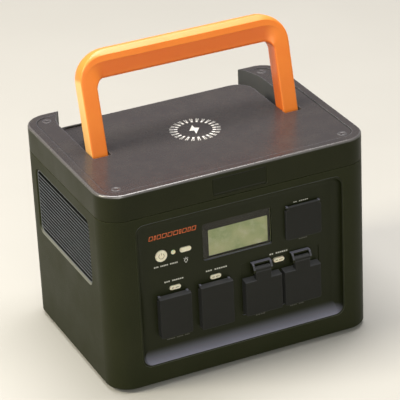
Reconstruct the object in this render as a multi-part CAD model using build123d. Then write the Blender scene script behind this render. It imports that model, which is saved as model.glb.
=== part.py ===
"""Portable power station with a folding carry handle: a lid on a moulded housing, a recessed
front panel with buttons, a display and covered outlets, side vents with fans, and the battery,
inverter and charging parts inside. Millimetres, +Z up, +Y to the rear, origin at the centre of
the footprint on the surface that the feet rest on."""
from build123d import *
import math
import os

# ---- driving dimensions -------------------------------------------------------------------
WIDTH = 330.0             # X
DEPTH = 245.0             # Y
LID_TOP = 250.0           # top of the lid above the ground
CORNER_R = 28.0           # vertical corners of the body
WALL = 3.0
FOOT_H = 4.0
SEAM = 218.0              # middle of the groove between housing and lid
SEAM_GAP = 1.0
FRONT = -DEPTH / 2
REAR = DEPTH / 2
FIT = 0.3                 # gap round a part that drops into an opening

# front recess and the panel plane at its floor
TRAY_X = 129.3            # half width
TRAY_Z = (27.6, 208.5)
TRAY_DEPTH = 11.0
TRAY_FLOOR = 3.0
TRAY_CORNER_R = 11.2
TRAY_COVE_R = 10.6
NAMEPLATE = (-34.0, 34.0, 221.5, 243.5)  # blank recess at the front of the lid
SILL_R = 15.0             # shallower hollow of the sill along the bottom of the recess
PANEL = FRONT + TRAY_DEPTH
PANEL_BACK = PANEL + TRAY_FLOOR
COVER_FACE = FRONT + 2.0  # deep outlet covers end this far behind the front face
SLIM_FACE = PANEL - 4.0   # the charging inlet cover stands this far off the panel

# handle
PIVOT_Y = -5.0
PIVOT_Z = LID_TOP - 12.5
TILT = 13.5               # degrees that the raised handle leans to the rear
HANDLE_T = 20.0           # thickness across the plane of the handle
ARM_X = (111.0, 130.5)    # inner and outer side of an arm
HANDLE_REACH = 126.0      # pivot to the outer face of the grip
GRIP_H = 33.0
GRIP_BAND = (6.0, 13.3)   # flat front of the grip, measured down from its top face
GRIP_BEVEL = 5.5          # across-depth of the bevel above that band
HANDLE_OUT_R = 36.0
HANDLE_IN_R = 10.5
PIN_R = 4.0
BUSH_R = 5.5
RUN = 0.05                # running clearance of pins and shafts

# channels that the handle folds into
CHANNEL_X = (109.5, 132.0)
CHANNEL_FRONT = -20.0
DECK_REAR = 84.5
DECK_CORNER_R = 22.0
HORN_TIP_X = 118.0        # where the side rails end at the rear face
CHANNEL_FLOOR = LID_TOP - 25.0

# fixings
SCREW_X = 140.0
SCREW_Y = 102.0
FOOT_X = 128.0
FOOT_Y = 88.0

# side vents
VENT_Y = (-73.0, 83.0)
VENT_Z = (122.0, 203.0)
VENT_R = 8.0
LOUVRE_PITCH = 3.3
LOUVRE_T = 1.5

# fans behind the vents
FAN = 70.0
FAN_T = 15.0
FAN_Y = sum(VENT_Y) / 2
FAN_Z = sum(VENT_Z) / 2
FAN_X = WIDTH / 2 - WALL - 3.1 - FAN_T / 2
FAN_BLADES = 7

# outlet covers: centre x, width, bottom z, top z, y of the front face
USB_COVER = (-84.1, 39.2, 57.5, 109.4, COVER_FACE)
DC_COVER = (-32.3, 40.5, 55.0, 110.6, COVER_FACE)
INPUT_COVER = (81.8, 45.2, 138.6, 181.0, SLIM_FACE)
AC_COVERS = (26.6, 76.8)  # centres
AC_W = 46.4
AC_Z = (57.0, 101.8)
AC_AXIS = (FRONT + 6.5, 112.3)
AC_TONGUE_W = 18.8
AC_EAR_W = 2.4
AC_BAY = (1.3, 102.2, 54.9, 122.2)   # shallow bay in the panel round the mains outlets
AC_BAY_DEPTH = 1.2
AC_FLOOR = PANEL + AC_BAY_DEPTH
SOCKET_Z = 79.4
SOCKET_R = 20.0
SOCKET_BORE_R = 18.6
FLAP_AXIS_Y = PANEL - 2.1
FLAP_AXIS_DROP = 2.0
FLAP_EAR_W = 2.5
COVER_SKIN = 2.0
HINGE_PIN_R = 1.0

# buttons: centre x, centre z, width, height
SLOT_BUTTONS = {
    "light_button": (-65.5, 160.0, 14.0, 6.0),
    "usb_button": (-80.4, 115.5, 13.7, 5.5),
    "dc_button": (-30.0, 115.5, 13.7, 5.5),
    "ac_button": (50.4, 115.5, 13.7, 5.5),
}
POWER_BUTTON = (-95.3, 159.0, 7.2)
LAMP = (-80.5, 160.0, 2.8)
BUTTON_GAP = 0.25
BUTTON_PROUD = 1.2
BUTTON_TRAVEL = 1.2
BOARD_Y = -100.0          # front face of the control board

# display window
LCD_X = (-44.0, 42.5)
LCD_Z = (138.5, 184.5)

# battery
CELL_R = 10.6
CELL_H = 70.0
CELL_PITCH = 22.6
CELL_COLS = 8
CELL_ROWS = 7
CELL_Y = 36.0             # centre of the pack
CELL_Z = 11.5
SHELF_Z = 90.0

os.makedirs("parts", exist_ok=True)


# ---- helpers ------------------------------------------------------------------------------
def upright(width, depth, z0, z1, radius, x=0.0, y=0.0):
    """Rounded block standing on z0."""
    return extrude(Pos(x, y, z0) * RectangleRounded(width, depth, radius), z1 - z0)


def facing(x0, x1, z0, z1, radius, y_front, y_back):
    """Rounded block seen from the front, from y_front to y_back."""
    plane = Plane.XZ.offset(-y_back)
    outline = RectangleRounded(x1 - x0, z1 - z0, radius)
    return extrude(plane * Pos((x0 + x1) / 2, (z0 + z1) / 2) * outline, y_back - y_front)


def sideways(y0, y1, z0, z1, radius, x0, x1):
    """Rounded block seen from the side, from x0 to x1."""
    plane = Plane.YZ.offset(x0)
    outline = RectangleRounded(y1 - y0, z1 - z0, radius)
    return extrude(plane * Pos((y0 + y1) / 2, (z0 + z1) / 2) * outline, x1 - x0)


def block(x0, x1, y0, y1, z0, z1):
    return Pos((x0 + x1) / 2, (y0 + y1) / 2, (z0 + z1) / 2) * Box(x1 - x0, y1 - y0, z1 - z0)


def post(radius, z0, z1, x=0.0, y=0.0):
    return Pos(x, y, (z0 + z1) / 2) * Cylinder(radius, z1 - z0)


def rod_x(radius, x0, x1, y, z):
    return Pos((x0 + x1) / 2, y, z) * Rot(0, 90, 0) * Cylinder(radius, x1 - x0)


def rod_y(radius, y0, y1, x, z):
    return Pos(x, (y0 + y1) / 2, z) * Rot(90, 0, 0) * Cylinder(radius, y1 - y0)


def corners(dx, dy):
    return [(sx * dx, sy * dy) for sx in (-1, 1) for sy in (-1, 1)]


def profile_x(points, x0, x1):
    """Prism along X of a closed outline of (y, z) points."""
    outline = Plane.YZ.offset(x0) * make_face(Polyline(*points, close=True))
    return extrude(outline, x1 - x0)


def save(name, shape):
    solids = list(shape.solids())
    part = solids[0] if len(solids) == 1 else Compound(children=solids)
    part.label = name
    export_step(part, f"parts/{name}.step")


# ---- housing ------------------------------------------------------------------------------
def body_block(z0, z1, inset=0.0):
    return upright(WIDTH - 2 * inset, DEPTH - 2 * inset, z0, z1, CORNER_R - inset)


def housing():
    top = SEAM - SEAM_GAP / 2
    shell = body_block(FOOT_H, top)
    bottom_edges = shell.faces().sort_by(Axis.Z)[0].edges()
    shell = fillet(bottom_edges, 2.5)
    shell -= body_block(FOOT_H - 1, top + 1, WALL)
    shell += body_block(top - 6, top, WALL) - body_block(top - 7, top + 1, WALL + 2.2)
    shell += body_block(top - 1, top + 4, WALL + 0.2) - body_block(top - 2, top + 5, WALL + 2.2)
    for x, y in corners(SCREW_X, SCREW_Y):
        side = math.copysign(1, x)
        rib = block(min(x, side * 163), max(x, side * 163), y - 1.5, y + 1.5, 7, top)
        shell += post(5.5, FOOT_H + WALL, SEAM + SEAM_GAP / 2, x, y) + rib
        shell -= post(1.9, 195, SEAM + 2, x, y)
        shell -= post(1.75, FOOT_H, 26, x, y)
    shell -= facing(-TRAY_X, TRAY_X, *TRAY_Z, TRAY_CORNER_R, FRONT - 1, FRONT + WALL + 1)
    for side in (-1, 1):
        x0, x1 = sorted((side * (WIDTH / 2 - WALL - 3), side * (WIDTH / 2 + 1)))
        opening = sideways(*VENT_Y, *VENT_Z, VENT_R, x0, x1)
        shell -= opening
        rim = [e for e in shell.edges() if abs(abs(e.center().X) - WIDTH / 2) < 0.01
               and e.center().X * side > 0 and VENT_Y[0] - 1 < e.center().Y < VENT_Y[1] + 1
               and VENT_Z[0] - 1 < e.center().Z < VENT_Z[1] + 1]
        shell = chamfer(rim, 2.0)
    return shell


def base_plate():
    plate = upright(WIDTH - 2 * WALL - 0.6, DEPTH - 2 * WALL - 0.6, FOOT_H, FOOT_H + WALL,
                    CORNER_R - WALL - FIT)
    for x, y in corners(SCREW_X, SCREW_Y):
        plate -= post(2.0, 0, 10, x, y)
    for x, y in corners(FOOT_X, FOOT_Y):
        plate -= post(3.0, 0, 10, x, y)
    return plate


def foot(x, y):
    pad = post(12.0, 0, FOOT_H, x, y)
    pad = fillet(pad.faces().sort_by(Axis.Z)[0].edges(), 1.2)
    return pad + post(3.0, FOOT_H - 0.5, FOOT_H + WALL, x, y)


def base_screw(x, y):
    head = post(3.2, 1.9, FOOT_H, x, y)
    return head + post(1.75, FOOT_H - 0.2, 20, x, y)


# ---- lid ----------------------------------------------------------------------------------
def channel_outline(grow=0.0):
    """Plan of the space that the folded handle lies in, widened by grow."""
    x_in, x_out = CHANNEL_X[0] - grow, CHANNEL_X[1] + grow
    front, deck = CHANNEL_FRONT - grow, DECK_REAR - grow
    half = HORN_TIP_X + grow
    bulge = (half + 10.8, 101)
    arc_end = REAR - 1.5
    back = REAR + 5
    lines = [
        Line((-x_out, front), (-x_out, 78)),
        ThreePointArc((-x_out, 78), (-bulge[0], bulge[1]), (-half, arc_end)),
        Line((-half, arc_end), (-half, back)),
        Line((-half, back), (half, back)),
        Line((half, back), (half, arc_end)),
        ThreePointArc((half, arc_end), bulge, (x_out, 78)),
        Line((x_out, 78), (x_out, front)),
        Line((x_out, front), (-x_out, front)),
    ]
    outer = make_face(Wire(lines))
    deck_h = deck - front + 10
    deck_face = Pos(0, deck - deck_h / 2) * Rectangle(2 * x_in, deck_h)
    rear_corners = deck_face.vertices().group_by(Axis.Y)[-1]
    deck_face = fillet(rear_corners, max(DECK_CORNER_R - grow, 4))
    return outer - deck_face


def channel_block(z0, z1, grow=0.0):
    return extrude(Pos(0, 0, z0) * channel_outline(grow), z1 - z0)


def lid():
    bottom = SEAM + SEAM_GAP / 2
    outer = body_block(bottom, LID_TOP)
    outer = fillet(outer.faces().sort_by(Axis.Z)[-1].edges(), 3.0)
    outer -= channel_block(CHANNEL_FLOOR, LID_TOP + 1)
    outer -= body_block(LID_TOP - 0.7, LID_TOP + 1, 10.5)
    hollow = body_block(bottom - 1, LID_TOP - WALL, WALL)
    hollow -= channel_block(CHANNEL_FLOOR - 2.5, LID_TOP, 2.5)
    shell = outer - hollow
    lip = block(-119, 119, REAR - 3, REAR, CHANNEL_FLOOR - 0.5, CHANNEL_FLOOR + 1.8)
    shell += lip
    for x, y in corners(SCREW_X, SCREW_Y):
        shell += post(6.6, bottom, LID_TOP - WALL, x, y)
        shell -= post(5.1, 235, LID_TOP + 1, x, y)
        shell -= post(2.0, bottom - 1, 236, x, y)
    for side in (-1, 1):
        x0, x1 = sorted((side * (CHANNEL_X[0] - 2.6), side * (CHANNEL_X[1] + 2.6)))
        shell -= rod_x(PIN_R, x0, x1, PIVOT_Y, PIVOT_Z)
    shell -= facing(*NAMEPLATE, 2.0, FRONT - 1, FRONT + 0.8)
    return shell


def lid_screw(x, y):
    return post(3.4, 235, 238.5, x, y) + post(1.9, 205, 235.2, x, y)


def screw_plug(x, y):
    plug = post(5.0, LID_TOP - 4.6, LID_TOP - 1.6, x, y)
    return fillet(plug.faces().sort_by(Axis.Z)[-1].edges(), 0.8)


# ---- handle -------------------------------------------------------------------------------
def lean(shape):
    """Turn a part built upright about the handle's pivot to the rest position."""
    return Pos(0, PIVOT_Y, PIVOT_Z) * Rot(-TILT, 0, 0) * shape


def handle():
    half_t = HANDLE_T / 2
    outer_w = 2 * ARM_X[1]
    outer_h = HANDLE_REACH + half_t
    outline = Pos(0, outer_h / 2 - half_t) * Rectangle(outer_w, outer_h)
    outline = fillet(outline.vertices().group_by(Axis.Y)[-1], HANDLE_OUT_R)
    gap_h = HANDLE_REACH - GRIP_H + half_t + 10
    gap = Pos(0, HANDLE_REACH - GRIP_H - gap_h / 2) * Rectangle(2 * ARM_X[0], gap_h)
    gap = fillet(gap.vertices().group_by(Axis.Y)[-1], HANDLE_IN_R)
    frame = extrude(Plane.XZ.offset(-half_t) * (outline - gap), HANDLE_T)
    arms = rod_x(half_t, -ARM_X[1] - 1, ARM_X[1] + 1, 0, 0)
    arms += block(-ARM_X[1] - 1, ARM_X[1] + 1, -half_t, half_t, 0, HANDLE_REACH + 1)
    frame = frame & arms
    slope_top = HANDLE_REACH - GRIP_BAND[1]
    slope_bottom = HANDLE_REACH - GRIP_H - 4
    for side in (-1, 1):
        wedge = profile_x([(side * half_t, slope_top), (side * (half_t + 3), slope_top),
                           (side * (half_t + 3), slope_bottom), (side * 4.2, slope_bottom)],
                          -98, 98)
        frame -= wedge
    for side in (-1, 1):
        x0, x1 = sorted((side * (ARM_X[0] - 1), side * (ARM_X[1] + 1)))
        frame -= rod_x(BUSH_R, x0, x1, 0, 0)
    top_edges = frame.edges().filter_by(lambda e: e.center().Z > HANDLE_REACH - 40
                                        and abs(abs(e.center().Y) - half_t) < 0.01
                                        and e.center().Z > HANDLE_REACH - 12)
    frame = fillet(top_edges, 1.6)
    for side in (-1, 1):
        low, high = HANDLE_REACH - GRIP_BAND[0], HANDLE_REACH + 1
        inner, edge, outer = (side * y for y in (half_t - GRIP_BEVEL, half_t, half_t + 3))
        bevel = [(edge, low), (outer, low), (outer, high), (inner, high), (inner, HANDLE_REACH)]
        frame -= profile_x(bevel, HANDLE_OUT_R - ARM_X[1], ARM_X[1] - HANDLE_OUT_R)
    return lean(frame)


def handle_pin(side):
    x0, x1 = sorted((side * (CHANNEL_X[0] - 2.5), side * (CHANNEL_X[1] + 2.5)))
    return rod_x(PIN_R, x0, x1, PIVOT_Y, PIVOT_Z)


def handle_bush(side):
    x0, x1 = sorted((side * ARM_X[0], side * ARM_X[1]))
    ring = rod_x(BUSH_R, x0, x1, PIVOT_Y, PIVOT_Z)
    return ring - rod_x(PIN_R + RUN, x0 - 1, x1 + 1, PIVOT_Y, PIVOT_Z)


def handle_washers():
    rings = []
    for side in (-1, 1):
        for near, far in ((CHANNEL_X[0], ARM_X[0] - 0.1), (ARM_X[1] + 0.1, CHANNEL_X[1])):
            x0, x1 = sorted((side * near, side * far))
            ring = rod_x(8.0, x0, x1, PIVOT_Y, PIVOT_Z)
            rings.append(ring - rod_x(PIN_R, x0 - 1, x1 + 1, PIVOT_Y, PIVOT_Z))
    return Compound(children=[r.solid() for r in rings])


# ---- front panel --------------------------------------------------------------------------
def flap_axis_z(cover):
    return cover[3] - FLAP_AXIS_DROP


def flap_ears(cover, pin=False):
    """The two lugs on the panel that carry a flap, or the pin through them."""
    x, width = cover[0], cover[1]
    z = flap_axis_z(cover)
    half = width / 2 - 1.0
    if pin:
        return rod_x(HINGE_PIN_R, x - half, x + half, FLAP_AXIS_Y, z)
    lugs = None
    for side in (-1, 1):
        x0, x1 = sorted((x + side * (half - FLAP_EAR_W), x + side * half))
        lug = rod_x(1.9, x0, x1, FLAP_AXIS_Y, z)
        lug += block(x0, x1, FLAP_AXIS_Y, PANEL + 0.5, z - 1.9, z + 1.9)
        lug -= rod_x(HINGE_PIN_R, x0 - 1, x1 + 1, FLAP_AXIS_Y, z)
        lugs = lug if lugs is None else lugs + lug
    return lugs


def ac_bracket(x):
    """Raised hinge bracket over an outlet cover: two ears and a thin hood."""
    y, z = AC_AXIS
    inner = AC_TONGUE_W / 2 + 0.35
    outer = inner + AC_EAR_W
    top = z + 8.2
    root = AC_FLOOR + 0.3
    ear_line = [(root, z - 4.0), (y, z - 4.4), (y - 3.6, z - 2.2), (y - 3.9, z + 1.5),
                (y - 1.0, z + 6.6), (y + 0.5, top), (root, top)]
    bracket = profile_x(ear_line, x - outer, x - inner) + profile_x(ear_line, x + inner, x + outer)
    hood = block(x - outer, x + outer, y + 0.5, root, top - 1.5, top)
    bracket = bracket + hood
    return bracket - rod_x(HINGE_PIN_R, x - outer + 0.8, x + outer - 0.8, y, z)


def panel_sill(z):
    """Hollow ramp from height z at the front face up to the panel."""
    rise = math.sqrt(SILL_R ** 2 - (SILL_R - TRAY_DEPTH) ** 2)
    ramp = block(-TRAY_X, TRAY_X, FRONT, PANEL + 1, z - 1, z + rise)
    return ramp - rod_x(SILL_R, -TRAY_X - 1, TRAY_X + 1, PANEL - SILL_R + 0.02, z + rise)


def front_panel():
    plug = facing(-TRAY_X + FIT, TRAY_X - FIT, TRAY_Z[0] + FIT, TRAY_Z[1] - FIT,
                  TRAY_CORNER_R, FRONT, PANEL_BACK)
    flange = facing(-TRAY_X - 3, TRAY_X + 3, TRAY_Z[0] - 3, TRAY_Z[1] + 3,
                    TRAY_CORNER_R + 2, FRONT + WALL + 0.1, FRONT + WALL + 2.1)
    lip = 1.5 + FIT
    pocket = facing(-TRAY_X + lip, TRAY_X - lip, TRAY_Z[0] + lip, TRAY_Z[1] - lip,
                    TRAY_CORNER_R, FRONT - 5, PANEL)
    floor_edges = pocket.faces().sort_by(Axis.Y)[-1].edges()
    pocket = fillet(floor_edges, TRAY_COVE_R)
    tray = plug + flange - pocket + (panel_sill(TRAY_Z[0] + lip) & plug)
    tray -= facing(*AC_BAY, 3.0, PANEL - 1, AC_FLOOR)
    tray -= facing(*LCD_X, *LCD_Z, 3.0, PANEL - 1, PANEL_BACK + 1)
    x, z, radius = POWER_BUTTON
    tray -= rod_y(radius + BUTTON_GAP, PANEL - 1, PANEL_BACK + 1, x, z)
    x, z, radius = LAMP
    tray -= rod_y(radius, PANEL - 1, PANEL_BACK + 1, x, z)
    for x, z, w, h in SLOT_BUTTONS.values():
        g = BUTTON_GAP
        tray -= facing(x - w / 2 - g, x + w / 2 + g, z - h / 2 - g, z + h / 2 + g, h / 2 - 0.05,
                       PANEL - 1, PANEL_BACK + 1)
    for cover in (USB_COVER, DC_COVER, INPUT_COVER):
        tray -= port_face(cover, PANEL - 1, PANEL_BACK + 1, 0.15)
        tray += flap_ears(cover)
    for x in AC_COVERS:
        tray -= rod_y(SOCKET_R + 0.15, PANEL - 1, PANEL_BACK + 1, x, SOCKET_Z)
        tray += ac_bracket(x)
    return tray


def lcd_window():
    c = 0.2
    pane = facing(LCD_X[0] + c, LCD_X[1] - c, LCD_Z[0] + c, LCD_Z[1] - c, 2.8,
                  PANEL - 0.5, PANEL_BACK - 0.1)
    front_edges = pane.faces().sort_by(Axis.Y)[0].edges()
    return fillet(front_edges, 0.3)


def lcd_module():
    frame = facing(LCD_X[0] - 2, LCD_X[1] + 2, LCD_Z[0] - 3, LCD_Z[1] + 3, 1.0,
                   PANEL_BACK + 0.1, BOARD_Y - 1.2)
    return frame


def lamp_lens():
    x, z, radius = LAMP
    lens = rod_y(radius, PANEL - 0.9, PANEL_BACK + 2, x, z)
    return fillet(lens.faces().sort_by(Axis.Y)[0].edges(), 0.85)


def control_board():
    board = block(-112, 58, BOARD_Y, BOARD_Y + 1.6, 110.5, 190)
    switches = [(POWER_BUTTON[0], POWER_BUTTON[1])]
    switches += [(b[0], b[1]) for b in SLOT_BUTTONS.values()]
    for x, z in switches:
        board += block(x - 3, x + 3, BOARD_Y - 2.5, BOARD_Y + 0.1, z - 3, z + 3)
    return board


# ---- buttons ------------------------------------------------------------------------------
def power_button():
    x, z, radius = POWER_BUTTON
    cap = rod_y(radius, PANEL - BUTTON_PROUD, PANEL_BACK + 1, x, z)
    cap = fillet(cap.faces().sort_by(Axis.Y)[0].edges(), 0.9)
    flange = rod_y(radius + 1.2, PANEL_BACK + 0.15, PANEL_BACK + 1.4, x, z)
    stem = rod_y(1.8, PANEL_BACK + 1, BOARD_Y - 2.5 - BUTTON_TRAVEL - 0.15, x, z)
    return cap + flange + stem


def slot_button(name):
    x, z, w, h = SLOT_BUTTONS[name]
    cap = facing(x - w / 2, x + w / 2, z - h / 2, z + h / 2, h / 2 - 0.05,
                 PANEL - BUTTON_PROUD, PANEL_BACK + 1)
    cap = fillet(cap.faces().sort_by(Axis.Y)[0].edges(), 0.7)
    flange = facing(x - w / 2 - 1, x + w / 2 + 1, z - h / 2 - 1, z + h / 2 + 1, 1.5,
                    PANEL_BACK + 0.15, PANEL_BACK + 1.4)
    stem = rod_y(1.5, PANEL_BACK + 1, BOARD_Y - 2.5 - BUTTON_TRAVEL - 0.15, x, z)
    return cap + flange + stem


# ---- outlet covers ------------------------------------------------------------------------
def flap_cover(cover):
    """Cap over a group of low-voltage outlets, hinged along its top edge."""
    x, width, z0, z1, face = cover
    x0, x1 = x - width / 2, x + width / 2
    y, z = FLAP_AXIS_Y, flap_axis_z(cover)
    back = PANEL - 0.3
    side = [(back, z0), (face, z0), (face, z + 0.6), (y - 0.8, z + 1.75), (y, z), (back, z - 3)]
    cap = facing(x0, x1, z0, z1 + 2, 2.5, face, back) & profile_x(side, x0 - 1, x1 + 1)
    face_edges = cap.faces().sort_by(Axis.Y)[0].edges()
    cap = fillet(face_edges, 1.0 if face < SLIM_FACE else 0.5)
    skin = COVER_SKIN if face < SLIM_FACE else 1.6
    cap -= facing(x0 + COVER_SKIN, x1 - COVER_SKIN, z0 + COVER_SKIN, z - 4.6, 1.5, face + skin, back + 1)
    half = width / 2 - 1.0
    cap += rod_x(1.8, x - half + FLAP_EAR_W + 0.3, x + half - FLAP_EAR_W - 0.3, y, z)
    for s in (-1, 1):
        ex0, ex1 = sorted((x + s * (half - FLAP_EAR_W - 0.3), x + s * (half + 0.3)))
        cap -= rod_x(2.3, ex0, ex1, y, z)
        cap -= block(ex0, ex1, y, back + 1, z - 3.2, z + 3)
        cap -= block(*sorted((x + s * half, x + s * (width / 2 + 1))), y - 2.3, back + 1, z - 3.2, z + 3)
    return cap - rod_x(HINGE_PIN_R + RUN, x0, x1, y, z)


def ac_cover(x):
    """Deeper cap over a mains outlet, with a tongue that turns in its bracket."""
    y, z = AC_AXIS
    back = AC_FLOOR - 0.3
    x0, x1 = x - AC_W / 2, x + AC_W / 2
    z0, z1 = AC_Z
    body_side = [(back, z0), (COVER_FACE, z0), (COVER_FACE, z1 - 1.0), (back, z1 + 0.6)]
    cap = facing(x0, x1, z0, z1 + 4, 2.5, COVER_FACE, back) & profile_x(body_side, x0 - 1, x1 + 1)
    cap = fillet(cap.faces().sort_by(Axis.Y)[0].edges(), 1.0)
    cap -= facing(x0 + COVER_SKIN, x1 - COVER_SKIN, z0 + COVER_SKIN, z1 - 1.9, 2.0,
                  COVER_FACE + COVER_SKIN, back + 1)
    half = AC_TONGUE_W / 2
    radius = 4.0
    tongue_side = [(COVER_FACE, z1 - 1.8), (COVER_FACE, z - 1.3), (y - 2.0, z + radius - 0.5),
                   (y, z), (y + 2.2, z1 - 1.8)]
    tongue = profile_x(tongue_side, x - half, x + half)
    tongue += rod_x(radius, x - half, x + half, y, z)
    cap += tongue
    return cap - rod_x(HINGE_PIN_R + RUN, x - half - 1, x + half + 1, y, z)


def hinge_pins():
    pins = [flap_ears(c, pin=True).solid() for c in (USB_COVER, DC_COVER, INPUT_COVER)]
    reach = AC_TONGUE_W / 2 + 0.35 + AC_EAR_W - 0.8
    pins += [rod_x(HINGE_PIN_R, x - reach, x + reach, *AC_AXIS).solid() for x in AC_COVERS]
    return Compound(children=pins)


# ---- outlets ------------------------------------------------------------------------------
def port_face(cover, y_front, y_back, grow=0.0):
    """Block that fills the panel opening behind a flap."""
    x, width, z0, z1 = cover[:4]
    half = width / 2 - COVER_SKIN - 1.0 + grow
    return facing(x - half, x + half, z0 + COVER_SKIN + 1.6 - grow, z1 - 8.4 + grow, 2.0, y_front, y_back)


def usb_ports():
    x, z0, z1 = USB_COVER[0], USB_COVER[2], USB_COVER[3]
    body = port_face(USB_COVER, PANEL - 1.5, -88)
    middle = (z0 + z1) / 2 - 2.5
    for z in (middle + 15, middle + 5):
        body -= facing(x - 6.5, x + 6.5, z - 2.9, z + 2.9, 0.4, PANEL - 3, -97)
        body += block(x - 5.6, x + 5.6, PANEL + 1.2, -96.5, z + 0.5, z + 2.3)
    for z in (middle - 5, middle - 14):
        body -= facing(x - 4.5, x + 4.5, z - 1.65, z + 1.65, 1.6, PANEL - 3, -99)
        body += block(x - 3.3, x + 3.3, PANEL + 0.5, -98.5, z - 0.35, z + 0.35)
    return body


def dc_ports():
    x, z1 = DC_COVER[0], DC_COVER[3]
    body = port_face(DC_COVER, PANEL - 1.5, -70)
    socket_z = z1 - 24
    body -= rod_y(10.5, PANEL - 3, -75, x, socket_z)
    for dx in (-8.5, 8.5):
        body -= rod_y(4.1, PANEL - 3, -99, x + dx, socket_z - 21)
        body += rod_y(1.05, PANEL + 1, -98.5, x + dx, socket_z - 21)
    return body


def input_ports():
    x, z0, z1 = INPUT_COVER[0], INPUT_COVER[2], INPUT_COVER[3]
    body = port_face(INPUT_COVER, PANEL - 1.5, -86)
    z = (z0 + z1) / 2 - 2.5
    body -= facing(x - 14, x + 2, z - 4.3, z + 4.3, 1.2, PANEL - 3, -99)
    for dx in (-9.6, -2.4):
        body += rod_y(1.75, PANEL + 0.5, -98.5, x + dx, z)
    body -= rod_y(4.2, PANEL - 3, -99, x + 11, z)
    body += rod_y(0.6, PANEL + 1.5, -98.5, x + 11, z)
    return body


def ac_socket(x):
    """Round recessed mains outlet with two pin holes and side earth clips."""
    body = rod_y(SOCKET_R, PANEL - 1.5, -95, x, SOCKET_Z)
    body += facing(x - 19, x + 19, SOCKET_Z - 19, SOCKET_Z + 19, 2, -97, -74)
    body -= rod_y(SOCKET_BORE_R, PANEL - 4, PANEL + 14.5, x, SOCKET_Z)
    for dx in (-9.5, 9.5):
        body -= rod_y(2.6, PANEL, -80, x + dx, SOCKET_Z)
    for side in (-1, 1):
        z = SOCKET_Z + side * (SOCKET_BORE_R - 1.2)
        body += block(x - 2.5, x + 2.5, PANEL + 1.0, PANEL + 15, *sorted((z, z + side * 1.8)))
    return body


# ---- vents and fans -----------------------------------------------------------------------
def vent_grille(side):
    outer = WIDTH / 2 - WALL - 0.1
    x_back = outer - 2.6
    x_face = WIDTH / 2 - 1.4
    y0, y1 = VENT_Y
    z0, z1 = VENT_Z

    def span(a, b):
        return sorted((side * a, side * b))

    frame = sideways(y0 - 4, y1 + 4, z0 - 4, z1 + 4, VENT_R + 3, *span(x_back, outer))
    frame += sideways(y0 + FIT, y1 - FIT, z0 + FIT, z1 - FIT, VENT_R, *span(x_back, outer + 1.2))
    frame -= sideways(y0 + 2, y1 - 2, z0 + 2, z1 - 2, VENT_R - 2, *span(x_back - 1, outer + 2))
    count = int((z1 - z0 - 5) / LOUVRE_PITCH)
    first = (z0 + z1) / 2 - (count - 1) * LOUVRE_PITCH / 2
    for i in range(count):
        z = first + i * LOUVRE_PITCH
        inset = 4.0 if i in (0, count - 1) else 1.5
        frame += block(*span(x_back, x_face), y0 + inset, y1 - inset, z - LOUVRE_T / 2, z + LOUVRE_T / 2)
    for y in (y0 + 39, (y0 + y1) / 2, y1 - 39):
        frame += block(*span(x_back, outer - 0.6), y - 1.2, y + 1.2, z0 + 1.5, z1 - 1.5)
    return frame


def fan_frame(side):
    x = side * FAN_X
    half = FAN / 2
    frame = sideways(FAN_Y - half, FAN_Y + half, FAN_Z - half, FAN_Z + half, 4.0,
                     x - FAN_T / 2, x + FAN_T / 2)
    frame -= rod_x(half - 2.0, x - FAN_T, x + FAN_T, FAN_Y, FAN_Z)
    x_in = x - side * (FAN_T / 2 - 1.0)
    ring = rod_x(17.0, x_in - 1.0, x_in + 1.0, FAN_Y, FAN_Z)
    frame += ring
    for angle in (45, 135, 225, 315):
        spoke = Pos(x_in, FAN_Y, FAN_Z) * Rot(angle, 0, 0) * Pos(0, 25, 0) * Box(2, 18, 3)
        frame += spoke
    for dy in (-31, 31):
        for dz in (-31, 31):
            frame -= rod_x(2.1, x - FAN_T, x + FAN_T, FAN_Y + dy, FAN_Z + dz)
    axle = rod_x(1.5, *sorted((x_in, x + side * 4.0)), FAN_Y, FAN_Z)
    return frame + axle


def fan_rotor(side):
    x = side * FAN_X
    x0, x1 = sorted((x - side * 5.0, x + side * 6.0))
    rotor = rod_x(15.5, x0, x1, FAN_Y, FAN_Z)
    blade_x0, blade_x1 = sorted((x - side * 4.0, x + side * 5.0))
    length = blade_x1 - blade_x0
    for i in range(FAN_BLADES):
        angle = 360 / FAN_BLADES * i
        blade = Rot(angle, 0, 0) * Pos(0, 23.5, 0) * Rot(0, 35, 0) * Box(length * 1.1, 17.5, 1.4)
        rotor += Pos((blade_x0 + blade_x1) / 2, FAN_Y, FAN_Z) * blade
    rotor -= rod_x(1.5 + RUN, *sorted((x - side * 6, x + side * 4.3)), FAN_Y, FAN_Z)
    return rotor


# ---- battery and electronics --------------------------------------------------------------
def cell_grid():
    return [((c - (CELL_COLS - 1) / 2) * CELL_PITCH, CELL_Y + (r - (CELL_ROWS - 1) / 2) * CELL_PITCH)
            for c in range(CELL_COLS) for r in range(CELL_ROWS)]


def battery_cells():
    return Compound(children=[post(CELL_R, CELL_Z, CELL_Z + CELL_H, x, y) for x, y in cell_grid()])


def cell_holder(upper):
    w = CELL_COLS * CELL_PITCH + 4
    d = CELL_ROWS * CELL_PITCH + 4
    z0, z1 = (CELL_Z + CELL_H - 6, CELL_Z + CELL_H) if upper else (CELL_Z, CELL_Z + 6)
    plate = upright(w, d, z0, z1, 4, 0, CELL_Y)
    for x, y in cell_grid():
        plate -= post(CELL_R + 0.1, z0 - 1, z1 + 1, x, y)
    return plate


def bus_bars():
    bars = []
    width = CELL_COLS * CELL_PITCH - 6
    for r in range(CELL_ROWS):
        y = CELL_Y + (r - (CELL_ROWS - 1) / 2) * CELL_PITCH
        for z in (CELL_Z - 0.5, CELL_Z + CELL_H):
            bars.append(block(-width / 2, width / 2, y - 4, y + 4, z, z + 0.5))
    return Compound(children=bars)


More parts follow.
